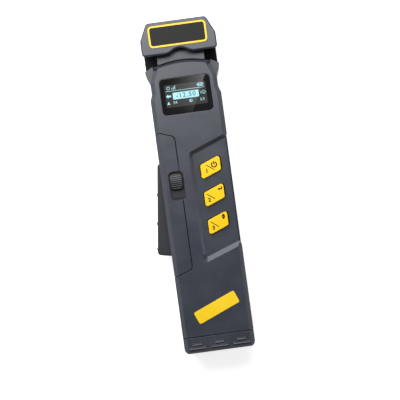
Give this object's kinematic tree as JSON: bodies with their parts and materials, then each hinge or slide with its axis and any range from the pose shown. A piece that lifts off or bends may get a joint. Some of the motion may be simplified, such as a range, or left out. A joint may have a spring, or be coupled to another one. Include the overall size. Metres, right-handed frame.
{
  "type": "optical fiber identifier",
  "caption": "Hand-held optical fibre identifier with a hooded clamp head, side squeeze trigger, small display, slanted keys, lock slider and battery end cap.",
  "frame": {"origin": "on the flat back, on the body's centreline, 97.2 mm above the battery end", "axes": "+Z out of the front face with the display and keys, +Y towards the clamp head, +X to the right seen from the front"},
  "size_m": [0.0509, 0.1924, 0.0349],
  "materials": {
    "housing": "fine spark-eroded texture, blue-grey moulded plastic",
    "seal": "matt black strip",
    "window": "polished black-edged window",
    "key": "satin yellow key",
    "slider": "dark ribbed slider",
    "trigger": "dark satin lever",
    "steel": "plain bright steel",
    "pad": "soft black pad",
    "detector": "gilt detector can",
    "anvil": "black light-tight plastic",
    "label": "bare black plate",
    "badge": "bare yellow plate",
    "board": "green solder mask",
    "screen": "display module",
    "switch": "black dome switch",
    "cell": "plain cell jacket"
  },
  "bodies": {
    "housing": {"rear_cover": "housing", "front_cover": "housing", "side_panel": "housing", "neck_seal": "seal", "display_window": "window", "trigger_pin": "steel", "jaw_spring": "steel", "detector_left": "detector", "detector_right": "detector", "anvil_block": "anvil", "head_cap": "housing", "label_plate": "label", "badge_plate": "badge", "circuit_board": "board", "display_module": "screen", "key_switches": "switch", "battery_left": "cell", "battery_right": "cell", "contact_springs": "steel", "housing_screws": "steel"},
    "squeeze_trigger": {"trigger": "trigger"},
    "jaw": {"clamp_jaw": "housing", "jaw_pad": "pad"},
    "lock": {"lock_slider": "slider"},
    "power_button": {"key_power": "key"},
    "reference_button": {"key_reference": "key"},
    "set_button": {"key_set": "key"},
    "battery_cap": {"end_cap": "housing", "contact_plate": "steel"}
  },
  "joints": [
    {"name": "trigger_squeeze", "type": "hinge", "parent": "housing", "child": "squeeze_trigger", "pos_m": [-0.0148, 0.0185, 0.011], "axis": [0, 0, 1], "range_deg": [0, 9], "stiffness_Nm_per_rad": 2, "springref_deg": -5.73},
    {"name": "jaw_lift", "type": "slide", "parent": "housing", "child": "jaw", "axis": [0, 1, 0], "range_m": [0, 0.0046], "deforming": ["jaw_spring"]},
    {"name": "lock_slide", "type": "slide", "parent": "housing", "child": "lock", "axis": [0, -1, 0], "range_m": [0, 0.0058]},
    {"name": "power_press", "type": "slide", "parent": "housing", "child": "power_button", "axis": [0, 0, -1], "range_m": [0, 0.0008], "stiffness_N_per_m": 1500, "springref_m": -0.0006},
    {"name": "reference_press", "type": "slide", "parent": "housing", "child": "reference_button", "axis": [0, 0, -1], "range_m": [0, 0.0008], "stiffness_N_per_m": 1500, "springref_m": -0.0006},
    {"name": "set_press", "type": "slide", "parent": "housing", "child": "set_button", "axis": [0, 0, -1], "range_m": [0, 0.0008], "stiffness_N_per_m": 1500, "springref_m": -0.0006},
    {"name": "cap_pull", "type": "slide", "parent": "housing", "child": "battery_cap", "axis": [0, -1, 0], "range_m": [0, 0.03]}
  ],
  "couplings": [
    {"joint": "jaw_lift", "follows": "trigger_squeeze", "m_per_rad": 0.029}
  ]
}
